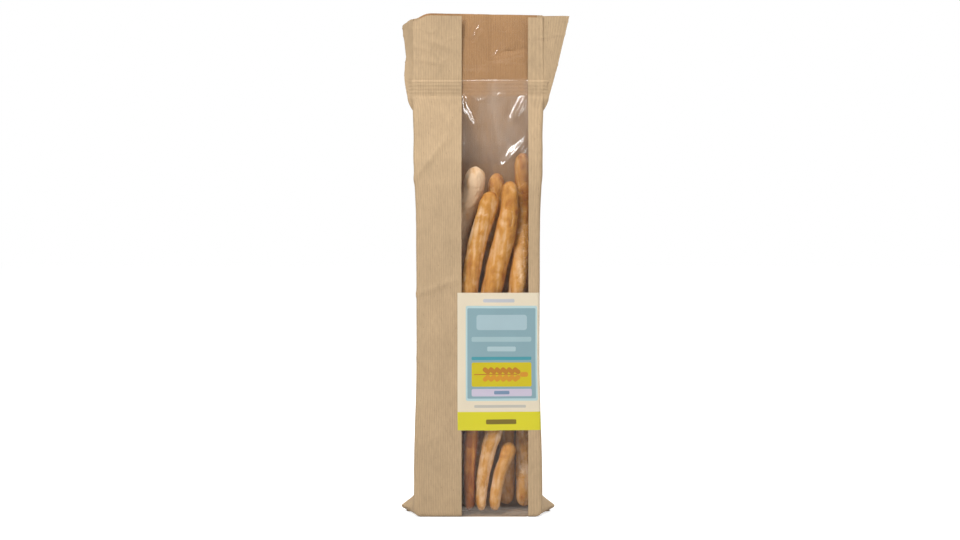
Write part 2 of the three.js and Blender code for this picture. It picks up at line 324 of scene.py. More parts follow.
# The flare is the gusset spread out again at the mouth, swept back by another angle on each side.
FLARE = {
    "start": 296,
    "at_seal": (4.5, 8.5),  # width at the lower and the upper edge of the seal
    "width": 20.5,
    "sweep": {1: math.radians(8), -1: math.radians(63)},
    "swept": 20,  # over the seal, where it has turned that far
    "droop": 0.35,  # of the left one
}
FIN_CURVE = 1.3  # how late an ear or a flare runs out of the gusset
MOUTH = {"thickness": 4.6, "front_drop": 2.5, "tilt": 0.02}
CURL = {"reach": 16, "drop": 4, "back": 3.5}  # the mouth's left corner
BASE_ROUND = 2.5  # radius of the base's edge
BASE_LIFT = 0.35  # room for the flap under the paper
BASE_ROWS, EDGE_ROWS = 8, 5
GUSSET_FROM = 0.46  # share of the width
FLAP = 0.3
FLAP_INSET = (8, 7)
FLAP_CORNER = 0.4  # share of its depth
SEAL_HALF = 0.75  # half the thickness of the sealed plies
RIB_PITCH, RIB_HEIGHT = 2.8, 0.07
SEAM = (9, 24)  # the glued overlap up the back, from its sharp edge to where it fades
SEAM_EDGE = 0.9
SEAM_RISE = 0.7
FILM_INSET = 0.45  # from the paper's outside to the film's
FILM_OVERLAP = 5
FILM_COLUMNS = 96
FILM_TIGHT = 0.85  # share of the paper's relief that is stretched out of its head
SEALED = 0.15  # share of its ripples that the seal leaves
LABEL_RISE = 0.15  # of its outside over the paper's
LABEL_THICKNESS = 0.12
LABEL_TURN = math.radians(58)
LABEL_ROWS, LABEL_COLUMNS, LABEL_TURN_COLUMNS = 72, 44, 6

# ---- The stage, in metres ----

WORLD_LIGHT = (0.16, 0.6)  # level and overhead
FLOOR_SIZE = 12
FLOOR_GREY = 0.62
FLOOR_GLOW = 0.68
LAMP_AIM = Vector((0, 0, 0.2))
# Name, place, side and watts.
LAMPS = (
    ("top softbox", (0.05, -0.6, 1.6), 0.3, 3.2),
    ("left softbox", (-0.8, -1.1, 1.0), 0.36, 8.9),
    ("right softbox", (1.0, -1.0, 0.85), 0.27, 3.0),
    ("spot for the film", (-0.32, -0.71, 1.385), 0.31, 8.4),
    ("back softbox", (0.95, 1.1, 1.15), 0.5, 14),
)
CAMERA_PLACE = Vector((0.00154, -0.9185, 0.225))
CAMERA_AIM = Vector((0.00154, -0.0185, 0.1925))
SENSOR_WIDTH = 36  # millimetres
VIEW_DISTANCE = 0.9
VIEW_WIDTH = 0.7392  # what the camera sees across at that distance


class BagForm:
    """The bag's surface from its sizes. Heights may be numpy arrays."""

    def __init__(self, sizes):
        self.height, self.width, self.waist, self.depth = (
            v / MM for v in (sizes.height, sizes.width, sizes.waist, sizes.depth)
        )
        self.shoulder, self.seal_bottom, self.seal_top = (
            v / MM for v in (sizes.shoulder, sizes.seal_bottom, sizes.seal_top)
        )
        self.window = (sizes.window_left / MM, sizes.window_right / MM)

    def half_width(self, z):
        full, waist = self.width / 2, self.waist / 2
        return along(z, [(height, (waist if narrow else full) + more) for height, narrow, more in WIDTHS])

    def half_depth(self, z):
        full = self.depth / 2
        rise, loss = SHOULDER_ROUND
        stations = [
            (self.shoulder, full),
            (self.shoulder + rise, full - loss),
            (self.seal_bottom, SEAL_HALF),
            (self.seal_top, SEAL_HALF),
            (self.height, MOUTH["thickness"] / 2),
        ]
        return straight(z, stations)

    def crown(self, z):
        low, high = RELEASE["crown"]
        top = self.seal_bottom - SEAL_HOLD["crown"]
        return along(z, [(low, 0), (high, CROWN), (self.shoulder, CROWN), (top, 0)])

    def slack(self, u, z, sy):
        """Slow waves of the loose paper and film."""
        low, high = RELEASE["slack"]
        stations = [
            (low, 0),
            (high, SLACK),
            (self.shoulder, SLACK),
            (self.shoulder + LOOSEST, 2 * SLACK),
            (self.seal_bottom - SEAL_HOLD["slack"], 0),
        ]
        wave = sum(part * np.sin(across * u + z / up + back * sy) for part, across, up, back in SLACK_WAVES)
        return straight(z, stations) * wave * (1 - u**4)

    def crease_radius(self, z):
        return np.minimum(CREASE_RADIUS, CREASE_SHARE * self.half_depth(z) - CREASE_SPARE)

    def pleat(self, z):
        stations = [
            (EAR["height"], 0),
            (PLEAT_FULL, PLEAT),
            (self.shoulder, PLEAT),
            (FLARE["start"] + TUCK_RISE, TUCK),
            (self.seal_bottom - SEAL_HOLD["tuck"], 0),
        ]
        return along(z, stations)

    def fin(self, z):
        """How far the folded gusset stands out beside the bag, in the ears and in the flare."""
        ear = straight(z, [(0, EAR["foot"]), (EAR["tip"], EAR["width"]), (EAR["height"], 0)])
        flare = [
            (FLARE["start"], 0),
            (self.seal_bottom, FLARE["at_seal"][0]),
            (self.seal_top, FLARE["at_seal"][1]),
            (self.height, FLARE["width"]),
        ]
        return ear + straight(z, flare)

    def sweep(self, z, sx):
        """The angle by which it is turned to the back."""
        top = FLARE["sweep"][sx]
        flare = straight(z, [(self.seal_bottom, top / 3), (self.seal_top + FLARE["swept"], top)])
        ear = straight(z, [(0, EAR["undercut"]), (EAR["tip"], EAR["sweep"])])
        return np.where(z < self.shoulder, ear, flare)

    def front(self, x, z, inset=0.0):
        """How far towards -Y the front is at x."""
        reach = self.half_width(z) - self.crease_radius(z)
        u = np.clip(x / reach, -1, 1)
        return -(self.half_depth(z) - inset + self.crown(z) * (1 - u * u) + self.slack(u, z, -1))

    def mouth_set(self, points, front):
        """Above the seal the plies lean: the edge runs slightly downhill and its left corner curls back.
        front is the share of the front ply, whose edge is cut lower."""
        x, y, z = points
        lift = np.clip((z - self.seal_top) / (self.height - self.seal_top), 0, 1)
        side = eased(-x, self.width / 2 - CURL["reach"], self.width / 2)
        z = z - lift * (MOUTH["tilt"] * x + CURL["drop"] * side**2 + MOUTH["front_drop"] * front)
        y = y + lift * CURL["back"] * side**2
        return np.stack([x, y, z], axis=-1)

    def column(self, part, t, heights, insets):
        """An upright line of the paper at share t of a part, at these heights, drawn in by their insets."""
        kind, sx, sy = part
        half = self.half_depth(heights) - insets
        side = self.half_width(heights) - insets
        radius = np.minimum(self.crease_radius(heights), half)
        reach = side - radius
        z = heights
        if kind in ("right strip", "back", "left strip"):
            start, end = {
                "right strip": (self.window[1], reach),
                "back": (reach, -reach),
                "left strip": (-reach, self.window[0]),
            }[kind]
            x = start + (end - start) * t
            u = x / reach
            y = sy * (half + self.crown(z) * (1 - u * u) + self.slack(u, z, sy))
        elif kind == "corner":
            turn = {(1, -1): -90, (1, 1): 0, (-1, 1): 90, (-1, -1): 180}[sx, sy]
            a = math.radians(turn + 90 * t)
            x = sx * reach + radius * math.cos(a)
            y = sy * (half - radius) + radius * math.sin(a)
        else:
            near = t if sx * sy < 0 else 1 - t
            fin = self.fin(heights) * near**FIN_CURVE
            sweep = self.sweep(heights, sx)
            x = sx * (side - self.pleat(heights) * near + fin * np.cos(sweep))
            y = sy * (half - radius) * (1 - near) + fin * np.sin(sweep)
            if sx < 0:
                lift = np.clip((heights - self.seal_top) / (self.height - self.seal_top), 0, 1)
                z = z - FLARE["droop"] * lift * fin * np.cos(sweep)
        front = np.clip(0.5 - 0.5 * y / np.maximum(half, 0.01), 0, 1)
        return self.mouth_set((x, y, z), front)

    def heights(self):
        """Heights of the rows of a sheet from the middle of the base to the mouth, with the inset of each at
        the base's rounded edge and how far it has opened from the seam under the base."""
        rows = [(BASE_LIFT, BASE_ROUND, share / BASE_ROWS) for share in range(BASE_ROWS)]
        for a in np.linspace(0, math.pi / 2, EDGE_ROWS):
            rows.append((BASE_LIFT + BASE_ROUND * (1 - math.cos(a)), BASE_ROUND * (1 - math.sin(a)), 1))
        spans = [  # from, to, and about how far apart
            (rows[-1][0], self.shoulder, 2.0),
            (self.shoulder, self.seal_bottom, 1.6),
            (self.seal_bottom, self.seal_top, RIB_PITCH / 6),
            (self.seal_top, self.height, 1.2),
        ]
        for low, high, step in spans:
            count = round((high - low) / step)
            rows += [(z, 0, 1) for z in np.linspace(low, high, count + 1)[1:]]
        return np.array(rows).T

    def closed(self, points, opened):
        """Draws the rows under the base in to the seam across its middle."""
        beyond = np.maximum(np.abs(points[..., 0]) - self.width / 2, 0)
        seam = beyond * math.tan(EAR["sweep"])
        points[..., 1] = seam + (points[..., 1] - seam) * opened
        return points

    def relief(self, points):
        """Dents, creases and seal ribs of the paper, as heights over its surface at these points of it."""
        places = points.reshape(-1, 3)
        x, y, z = places.T
        low, high = self.seal_bottom, self.seal_top
        starts, full = RELEASE["dents"]
        held = low - SEAL_HOLD["dents"]
        body = along(z, [(starts, 0), (full, 1), (self.shoulder, 1), (held, 0.7), (low, 0)])
        lip = eased(z, high, high + 12)
        loose = eased(z, self.shoulder + 6, low - 10) * body
        dents = 0.3 * waves(places, (38, 38, 60), 1) + 0.12 * waves(places, (13, 13, 26), 2)
        pleats = 0.7 * waves(places, (9, 14, 90), 3)
        folds = np.clip(1 - 7 * np.abs(waves(places, (34, 34, 46), 4)), 0, 1) ** 2
        creases = np.clip(1 - 12 * np.abs(waves(places, (19, 19, 15), 5)), 0, 1) ** 2
        height = dents * (body + 2.2 * lip) + loose * (pleats + 0.3 * folds) + 0.5 * lip * creases
        height += 0.1 * body * folds
        band = eased(z, low, low + 1) - eased(z, high - 1, high)
        height += RIB_HEIGHT * band * np.cos(2 * math.pi * (z - low) / RIB_PITCH)
        # The front bulges under the seal, is drawn in at its lower edge and stands up under its upper edge.
        steps = [(low - 8, 0), (low - 1.8, 0.6), (low, 0), (high - 3.2, 0.75), (high - 1.4, 0)]
        front = along(z, steps) + ridges(x, z, CREASES)
        # The tube's glued seam stands up the back.
        seam = eased(x, SEAM[0] - SEAM_EDGE, SEAM[0] + SEAM_EDGE) - eased(x, *SEAM)
        back = SEAM_RISE * seam * (z > BASE_ROUND) + ridges(x, z, BACK_CREASES)
        height += np.where(y < 0, front, back)
        return height.reshape(points.shape[:-1])


# The parts of the paper in order: kind, side in x and in y, and how many columns.
PARTS = [
    (("right strip", 1, -1), 7),
    (("corner", 1, -1), 4),
    (("gusset", 1, -1), 10),
    (("gusset", 1, 1), 10),
    (("corner", 1, 1), 4),
    (("back", 1, 1), 54),
    (("corner", -1, 1), 4),
    (("gusset", -1, 1), 10),
    (("gusset", -1, -1), 10),
    (("corner", -1, -1), 4),
    (("left strip", -1, -1), 28),
]
# Folds of the film and creases of the paper: x and z of both ends, height and half width.
FOLDS = [
    ((-10.5, 328), (1.5, 303), 1.7, 3.7),
    ((37.5, 328), (25.5, 305), 1.65, 3.1),
    ((43, 298), (18, 270.5), 1.55, 3.6),
    ((2, 322), (8, 304), 0.3, 2.6),
    ((-14, 339.6), (41, 339.6), 0.58, 0.85),
    ((12, 328.8), (22, 329), 0.95, 1.4),
    ((-1, 324.5), (7, 324.2), 0.42, 1.4),
    ((-4, 373), (4, 388), 0.75, 1.9),
    ((13, 359), (20, 371), 0.7, 1.8),
    ((34, 362), (10, 355), 0.5, 1.8),
    ((-12, 350), (18, 352), 0.35, 1.6),
]
CREASES = [
    ((-49, 173), (-14, 186), 0.9, 2.0),
    ((-50, 261), (-21, 298), 1.0, 2.6),
    ((-46, 322), (-18, 309), 0.5, 2.4),
    ((-47, 124), (-30, 112), 0.4, 2.2),
    ((-44, 58), (-26, 66), 0.35, 2.4),
    ((-46, 232), (-36, 214), 0.4, 2.4),
    ((50, 262), (41, 296), 0.45, 2.2),
    ((-40, 372), (-16, 362), 0.5, 2.0),
    ((-46, 356), (-22, 352), 0.4, 1.8),
]
BACK_CREASES = [
    ((50, 259), (22, 296), 1.0, 2.8),
    ((-50, 262), (-27, 300), 0.9, 2.6),
    ((-48, 318), (-12, 304), 0.5, 2.4),
    ((49, 181), (20, 190), 0.8, 2.4),
    ((-49, 142), (-18, 130), 0.7, 2.4),
    ((47, 96), (27, 84), 0.5, 2.6),
    ((-46, 62), (-30, 72), 0.4, 2.6),
    ((40, 366), (2, 358), 0.5, 2.4),
]


def ridges(x, z, lines):
    """Height of these rounded ridges at x and z."""
    height = np.zeros_like(x)
    for (x0, z0), (x1, z1), rise, half in lines:
        run = np.array([x1 - x0, z1 - z0])
        t = np.clip(((x - x0) * run[0] + (z - z0) * run[1]) / (run @ run), 0, 1)
        apart = np.hypot(x - x0 - t * run[0], z - z0 - t * run[1])
        taper = np.sqrt(np.sin(math.pi * (0.12 + 0.88 * t)).clip(0, 1))
        height += rise * taper * np.exp(-((apart / half) ** 2))
    return height


def bag_form():
    return BagForm(bpy.context.scene.grissini_bag)


def paper_points(form):
    """The grid of points of the paper, from the window's right edge round the back to its left edge."""
    heights, insets, opened = form.heights()
    stops = [(part, i / count) for part, count in PARTS for i in range(count)] + [(PARTS[-1][0], 1)]
    points = np.array([form.column(part, t, heights, insets) for part, t in stops])
    points = form.closed(points, opened)
    return points + normals_of(points) * form.relief(points)[..., None]


def film_relief(form, x, z):
    """Folds and ripples of the film between the paper edges that it is glued to."""
    places = np.stack([x.ravel(), 0 * x.ravel(), z.ravel()], axis=1)
    low, high = form.seal_bottom, form.seal_top
    head = along(places[:, 2], [(form.shoulder - 20, 0.1), (form.shoulder + 25, 1), (low, 0.5)])
    lip = eased(places[:, 2], high, high + 6)
    ripple = head * (0.2 * waves(places, (11, 1, 26), 11) + 0.08 * waves(places, (5, 1, 9), 12))
    ripple += 0.3 * lip * waves(places, (24, 1, 5), 13) + 0.12 * waves(places, (9, 1, 70), 14)
    starts, full = RELEASE["film"]
    loose = [(starts, 0), (full, 1), (low, 1), (low + 1, SEALED), (high, SEALED), (high + 3, 1)]
    return ridges(x, z, FOLDS) + ripple.reshape(x.shape) * along(z, loose)


def film_points(form):
    """The grid of points of the film, which runs behind the paper on both sides and under the base. Its head
    is drawn tight between the strips, so it shows less of the paper's relief than its edges."""
    rows = form.heights()
    coarse = np.arange(rows.shape[1])
    head = coarse[rows[0] > form.shoulder]
    fine = np.union1d(coarse, head - 0.5)
    heights, insets, opened = (np.interp(fine, coarse, row) for row in rows)
    columns = []
    for x in np.linspace(form.window[0] - FILM_OVERLAP, form.window[1] + FILM_OVERLAP, FILM_COLUMNS):
        xs = np.full_like(heights, x)
        columns.append(form.mouth_set((xs, form.front(xs, heights, FILM_INSET + insets), heights), 1.0))
    points = form.closed(np.array(columns), opened)
    x, z = points[..., 0], np.broadcast_to(heights, points.shape[:2])
    inside = eased(np.minimum(x - form.window[0], form.window[1] - x), -0.3, 3.5)
    tight = FILM_TIGHT * inside * eased(z, form.shoulder - 40, form.shoulder)
    points[..., 1] -= form.relief(points) * (1 - tight) + film_relief(form, x, z) * inside
    # Under the base it lies over the paper.
    points[..., 2] += (1 - eased(z, 0.4, 2.8)) * FILM_INSET
    return points


def label_points(form, sizes):
    """The grid of points of the label, flat over the front and on round its right crease."""
    left, bottom, top = (v / MM for v in (sizes.label_left, sizes.label_bottom, sizes.label_top))
    heights = np.linspace(bottom, top, LABEL_ROWS)
    radius = form.crease_radius(heights)
    reach = form.half_width(heights) - radius
    columns = []
    for share in np.linspace(0, 1, LABEL_COLUMNS):
        x = left + (reach - left) * share
        columns.append(np.stack([x, form.front(x, heights, -LABEL_RISE), heights], axis=-1))
    for turned in np.linspace(0, LABEL_TURN, LABEL_TURN_COLUMNS)[1:]:
        r = radius + LABEL_RISE
        x = reach + r * math.sin(turned)
        y = radius - form.half_depth(heights) - r * math.cos(turned)
        columns.append(np.stack([x, y, heights], axis=-1))
    points = np.array(columns)
    return points + normals_of(points) * form.relief(points)[..., None]


# ---- Materials ----


KRAFT_RIBS = 1.7  # millimetres from rib to rib
WAVE_SCALE = 2 * math.pi / 20  # a wave texture of scale 1 has a band every 2 pi / 20


def per(millimetres):
    """The scale that gives a pattern this size in a texture read in metres."""
    return 1 / (millimetres * MM)


def kraft_material(name, colour):
    """Ribbed kraft paper, machine finished on one side: a dull brown sheet whose long fibres, specks and
    upright ribs break up the colour, without gloss. The real ribs and fibres are finer. They are drawn as
    coarse as they need to be to show."""
    material, tree = new_material(name)
    place = add_node(tree, "TexCoord").outputs["UV"]

    def fibres(scale, turn):
        mapped = add_node(
            tree, "Mapping", {"Vector": place, "Scale": scale, "Rotation": (0, 0, math.radians(turn))}
        )
        return add_node(
            tree, "TexNoise", {"Vector": mapped, "Scale": 1.0, "Detail": 4.0, "Roughness": 0.6}
        ).outputs["Fac"]

    upright = fibres((per(1.1), per(7), 1), 17)
    slanted = fibres((per(3.4), per(0.9), 1), 52)
    cloud = fibres((per(16), per(26), 1), 0)
    fibre = add_node(
        tree, "Mix", {"Factor": 0.2, "A": upright, "B": slanted}, data_type="FLOAT"
    ).outputs["Result"]
    dark, light = ((*(share * c for c in colour[:3]), 1.0) for share in (0.88, 1.1))
    tone = add_node(
        tree, "ValToRGB", {"Fac": fibre}, stops=[(0.3, dark), (0.5, tuple(colour)), (0.72, light)]
    )
    ribs = add_node(
        tree,
        "TexWave",
        {"Vector": place, "Scale": per(KRAFT_RIBS) * WAVE_SCALE, "Distortion": 0.6, "Detail": 1.0},
        wave_type="BANDS",
        bands_direction="X",
    )
    ribbed = add_node(
        tree,
        "Mix",
        {"Factor": 0.05, "A": tone.outputs["Color"], "B": ribs.outputs["Color"]},
        data_type="RGBA",
        blend_type="OVERLAY",
    )
    shade = add_node(
        tree, "MapRange", {"Value": cloud, "From Min": 0.3, "From Max": 0.7, "To Min": 0.94, "To Max": 1.06}
    )
    clouded = add_node(tree, "HueSaturation", {"Color": ribbed.outputs["Result"], "Value": shade})
    slivers = add_node(
        tree,
        "Mapping",
        {"Vector": place, "Scale": (per(3), per(8), 1), "Rotation": (0, 0, math.radians(24))},
    )
    speck = add_node(tree, "TexVoronoi", {"Vector": slivers, "Scale": 1.0}, feature="F1")
    specks = add_node(
        tree,
        "MapRange",
        {
            "Value": speck.outputs["Distance"],
            "From Min": 0.05,
            "From Max": 0.1,
            "To Min": 0.35,
            "To Max": 0.0,
        },
    )
    spotted = add_node(
        tree,
        "Mix",
        {"Factor": specks, "A": clouded.outputs["Color"], "B": linear("6a4c2e")},
        data_type="RGBA",
    )
    bump = add_node(tree, "Bump", {"Height": fibre, "Strength": 0.35, "Distance": 0.12 * MM})
    ribs_up = add_node(
        tree,
        "Bump",
        {"Height": ribs.outputs["Fac"], "Strength": 0.24, "Distance": 0.1 * MM, "Normal": bump},
    )
    shader = add_node(
        tree,
        "BsdfPrincipled",
        {
            "Base Color": spotted.outputs["Result"],
            "Roughness": 0.78,
            "Specular IOR Level": 0.3,
            "Normal": ribs_up,
        },
    )
    add_node(tree, "OutputMaterial", {"Surface": shader})
    return material


HAZE = [(250, 0), (292, 1), (338, 1), (342, 0)]  # height in millimetres, and how milky the film is there
HAZE_SCALE = 2.5  # brings heights in metres into a colour ramp's range from 0 to 1


def film_material():
    """Cast polypropylene film: clear and glossy with a trace of haze, so that folds show as sharp glints."""
    material, tree = new_material("clear polypropylene film")
    clear = add_node(tree, "BsdfTransparent", {"Color": (0.99, 0.985, 0.98, 1)})
    haze = add_node(tree, "BsdfPrincipled", {"Base Color": linear("efe4d6"), "Roughness": 0.5, "IOR": 1.49})
    # It is milky where two plies lie over each other at the base, and where it is crinkled below the seal.
    place = add_node(tree, "TexCoord").outputs["Object"]
    across, _, up = add_node(tree, "SeparateXYZ", {0: place}).outputs
    crinkles = add_node(tree, "Mapping", {"Vector": place, "Scale": (per(9), 1, per(26))})
    patches = add_node(tree, "TexNoise", {"Vector": crinkles, "Scale": 1.0, "Detail": 3.0})
    share = add_node(tree, "Math", {0: up, 1: HAZE_SCALE}, operation="MULTIPLY")
    haze_share = add_node(
        tree,
        "ValToRGB",
        {"Fac": share},
        stops=[(height * HAZE_SCALE * MM, (haziness, haziness, haziness, 1)) for height, haziness in HAZE],
    ).outputs["Color"]
    # Towards the left the film is less milky, so that the shaded left of the head stays dark: painted shade.
    # It is mottled in patches as well.
    for value, low, high, least, most in (
        (across, -14 * MM, 10 * MM, 0.1, 1),
        (patches.outputs["Fac"], 0.3, 0.7, 0.03, 0.09),
    ):
        ranged = add_node(
            tree,
            "MapRange",
            {"Value": value, "From Min": low, "From Max": high, "To Min": least, "To Max": most},
        )
        haze_share = add_node(tree, "Math", {0: haze_share, 1: ranged}, operation="MULTIPLY")
    base = add_node(
        tree,
        "MapRange",
        {"Value": up, "From Min": 7 * MM, "From Max": 9 * MM, "To Min": 0.07, "To Max": 0.006},
    )
    plies = add_node(tree, "Math", {0: haze_share, 1: base}, operation="ADD")
    body = add_node(tree, "MixShader", {"Fac": plies, 1: clear, 2: haze})
    gloss = add_node(tree, "BsdfAnisotropic", {"Color": (1, 1, 1, 1), "Roughness": 0.145})
    mirror = add_node(tree, "Fresnel", {"IOR": 1.49})
    behind = add_node(tree, "NewGeometry").outputs["Backfacing"]
    ahead = add_node(tree, "Math", {0: 1.0, 1: behind}, operation="SUBTRACT")
    share = add_node(tree, "Math", {0: mirror, 1: ahead}, operation="MULTIPLY")
    surface = add_node(tree, "MixShader", {"Fac": share, 1: body, 2: gloss})
    add_node(tree, "OutputMaterial", {"Surface": surface})
    return material


# Fields of the printed label: left, right, bottom and top as shares of its width and height, the corners'
# radius in millimetres, and the colour. Later fields lie over earlier ones.
LABEL_FIELDS = [
    (0.1, 0.965, 0.215, 0.905, 1.5, "adc7c9"),
    (0.12, 0.945, 0.232, 0.888, 1.0, "panel"),
    (0.31, 0.69, 0.93, 0.955, 1.0, "b7b8bc"),
    (0.23, 0.84, 0.73, 0.84, 2.0, "9fb6bc"),
    (0.17, 0.895, 0.645, 0.68, 1.2, "9ab4b8"),
    (0.36, 0.705, 0.575, 0.61, 1.0, "a3babe"),
    (0.17, 0.895, 0.512, 0.536, 0.8, "45909a"),
    (0.17, 0.895, 0.318, 0.495, 1.5, "c5b310"),
    (0.17, 0.895, 0.248, 0.302, 1.2, "c1b8c8"),
    (0.44, 0.625, 0.262, 0.288, 0.9, "7087a0"),
    (0.2, 0.82, 0.165, 0.185, 0.8, "b8b3a8"),
    (0.0, 1.0, 0.0, 0.135, 0.2, "band"),
    (0.34, 0.7, 0.045, 0.08, 0.9, "76651e"),
]
INK_EDGE = 0.1  # half the soft edge of a field, in millimetres
# An ear of wheat that lies across the yellow field. A grain is its place, length, half height and turn.
WHEAT_STALK = (0.46, 0.407, 0.52, 0.004, 0)
WHEAT_TIP = (0.805, 0.407, 0.1, 0.018, 0)
WHEAT_FOOT, WHEAT_PAIRS, WHEAT_STEP, WHEAT_SPREAD = (0.35, 0.407), 6, 0.073, 0.027
WHEAT_GRAIN, WHEAT_LEAN, WHEAT_ROUND = (0.1, 0.017), 38, 0.9
WHEAT_INKS = ("b3741c", "c98a22")


def label_material(colours, width, height):
    """Satin-coated label stock, offset printed: flat fields of ink with crisp edges under a low sheen."""
    material, tree = new_material("satin coated label stock")
    place = add_node(tree, "TexCoord").outputs["UV"]

    def field(left, right, bottom, top, radius, turn):
        """1 inside a rounded box and 0 outside it."""
        centre = (0.5 * (left + right) * width, 0.5 * (bottom + top) * height, 0)
        half = (0.5 * (right - left) * width - radius, 0.5 * (top - bottom) * height - radius, 0)
        centre, half = ([side * MM for side in sides] for sides in (centre, half))
        moved = add_node(tree, "VectorMath", {0: place, 1: centre}, operation="SUBTRACT")
        turned = add_node(tree, "VectorRotate", {"Vector": moved, "Angle": math.radians(turn)})
        apart = add_node(tree, "VectorMath", {0: turned}, operation="ABSOLUTE")
        over = add_node(tree, "VectorMath", {0: apart, 1: half}, operation="SUBTRACT")
        past = add_node(tree, "VectorMath", {0: over, 1: (0, 0, 0)}, operation="MAXIMUM")
        far = add_node(tree, "VectorMath", {0: past}, operation="LENGTH")
        edges = {"From Min": (radius + INK_EDGE) * MM, "From Max": (radius - INK_EDGE) * MM}
        return add_node(tree, "MapRange", {"Value": far.outputs["Value"], **edges})

    inks = {"panel": tuple(colours.label_panel), "band": tuple(colours.label_band)}
    prints = [(box, 0, inks.get(ink) or linear(ink)) for *box, ink in LABEL_FIELDS]
    grains = [WHEAT_STALK, WHEAT_TIP]
    foot, middle = WHEAT_FOOT
    for pair in range(WHEAT_PAIRS):
        for side in (1, -1):
            grain_place = (foot + WHEAT_STEP * pair, middle + side * WHEAT_SPREAD)
            grains.append((*grain_place, *WHEAT_GRAIN, side * WHEAT_LEAN))
    for i, (x, z, reach, half, turn) in enumerate(grains):
        box = (x - 0.5 * reach, x + 0.5 * reach, z - half, z + half, WHEAT_ROUND * half * height)
        prints.append((box, turn, linear(WHEAT_INKS[i % 2])))
    shown = tuple(colours.label_ground)
    for box, turn, ink in prints:
        layer = {"Factor": field(*box, turn), "A": shown, "B": ink}
        shown = add_node(tree, "Mix", layer, data_type="RGBA").outputs["Result"]
    grain = add_node(tree, "TexNoise", {"Vector": place, "Scale": per(0.9), "Detail": 3.0})
    mottled = add_node(
        tree,
        "Mix",
        {"Factor": 0.05, "A": shown, "B": grain.outputs["Color"]},
        data_type="RGBA",
        blend_type="SOFT_LIGHT",
    )
    bump = add_node(tree, "Bump", {"Height": grain.outputs["Fac"], "Strength": 0.15, "Distance": 0.05 * MM})
    shader = add_node(
        tree, "BsdfPrincipled", {"Base Color": mottled.outputs["Result"], "Roughness": 0.42, "Normal": bump}
    )
    add_node(tree, "OutputMaterial", {"Surface": shader})
    return material


def crust_material(colours):
    """Baked dough brushed with oil, dry by now: matt, toasted where it stood out in the oven, and floury in
    the hollows. The attribute bake, made with each stick, says how far its crust has baked, with painted
    shade at the foot of grissino_3 and painted light on grissino_1. A real crust's grain is finer. It is
    drawn as coarse as it needs to be to show."""
    material, tree = new_material("baked dough crust")
    dough = add_node(tree, "Attribute", attribute_name="dough").outputs["Vector"]
    bake = add_node(tree, "Attribute", attribute_name="bake").outputs["Fac"]
    stretch = add_node(tree, "Mapping", {"Vector": dough, "Scale": (per(2.2), per(2.2), per(9))})
    patterns = [  # streaks, blotches, and the grain, which the bump follows as well
        (stretch, 1.0, 5.0, 0.6, 0.26),
        (dough, per(7), 4.0, 0.55, 0.56),
        (dough, per(0.8), 6.0, 0.7, 0.22),
    ]
    level = bake
    for place, scale, detail, roughness, share in patterns:
        grain = add_node(
            tree, "TexNoise", {"Vector": place, "Scale": scale, "Detail": detail, "Roughness": roughness}
        ).outputs["Fac"]
        level = add_node(tree, "Math", {0: grain, 1: share, 2: level}, operation="MULTIPLY_ADD")
    # Noise is a half on average, so half of the shares is taken off again.
    added = 0.5 * sum(pattern[-1] for pattern in patterns)
    level = add_node(tree, "Math", {0: level, 1: added}, operation="SUBTRACT")
    pale, gold, brown = (tuple(c) for c in (colours.crust_pale, colours.crust_gold, colours.crust_brown))
    middle = tuple((p + g) / 2 for p, g in zip(pale, gold))
    colour = add_node(
        tree,
        "ValToRGB",
        {"Fac": level},
        stops=[(0.0, pale), (0.25, middle), (0.5, gold), (0.8, linear("ac6a26")), (1.0, brown)],
    )
    bump = add_node(tree, "Bump", {"Height": grain, "Strength": 0.6, "Distance": 0.25 * MM})
    shader = add_node(
        tree,
        "BsdfPrincipled",
        {
            "Base Color": colour.outputs["Color"],
            "Roughness": 0.72,
            "Specular IOR Level": 0.35,
            "Normal": bump,
        },
    )
    add_node(tree, "OutputMaterial", {"Surface": shader})
    return material


# ---- Breadsticks ----

SLICE = 5  # millimetres, height of the slices whose centres make a stick's middle line
TWIST = 55  # millimetres of a stick in which its stretch marks turn by one radian
RELIEF_RANGE = (-1.0, 0.55)  # millimetres
END_BAKE, END_REACH = 0.08, 14  # how much further the ends have baked, and for how many millimetres
APART = 40  # millimetres from one stick to the next in the dough's pattern
# How far each stick has baked at its foot, its middle and its tip, 0 pale to 1 dark, from grissino_1 on.
# The foot of grissino_3 is darkened to 1.1 as painted shade, where it stands in shade low in the bag, and
# grissino_1, pale dough, is made palest also as painted light on its bulb near the film.
BAKE_WITH_PAINTED_LIGHT = (
    (0.1, 0.05, 0.0), (0.54, 0.54, 0.46), (1.1, 0.48, 0.52), (0.32, 0.36, 0.62), (0.44, 0.42, 0.4),
    (0.34, 0.4, 0.5), (0.56, 0.5, 0.45), (0.48, 0.5, 0.5), (0.46, 0.48, 0.5), (0.45, 0.45, 0.45),
)


def straightened(places):
    """A stick's vertices as if it stood straight, in millimetres, with its own radius at each of them."""
    z = places[:, 2]
    slices = np.linspace(z.min(), z.max(), max(4, round((z.max() - z.min()) / SLICE)))
    index = np.clip(np.searchsorted(slices, z) - 1, 0, len(slices) - 2)
    count = np.bincount(index, minlength=len(slices) - 1)
    middle = 0.5 * (slices[1:] + slices[:-1])
    centre = np.stack([np.bincount(index, places[:, a], len(slices) - 1) / count for a in (0, 1)], axis=1)
    run = lengths(np.column_stack([centre, middle]))
    past_ends = np.clip(z - middle[-1], 0, None) - np.clip(middle[0] - z, 0, None)
    across = [places[:, axis] - np.interp(z, middle, centre[:, axis]) for axis in (0, 1)]
    return np.column_stack([*across, np.interp(z, middle, run) + past_ends])


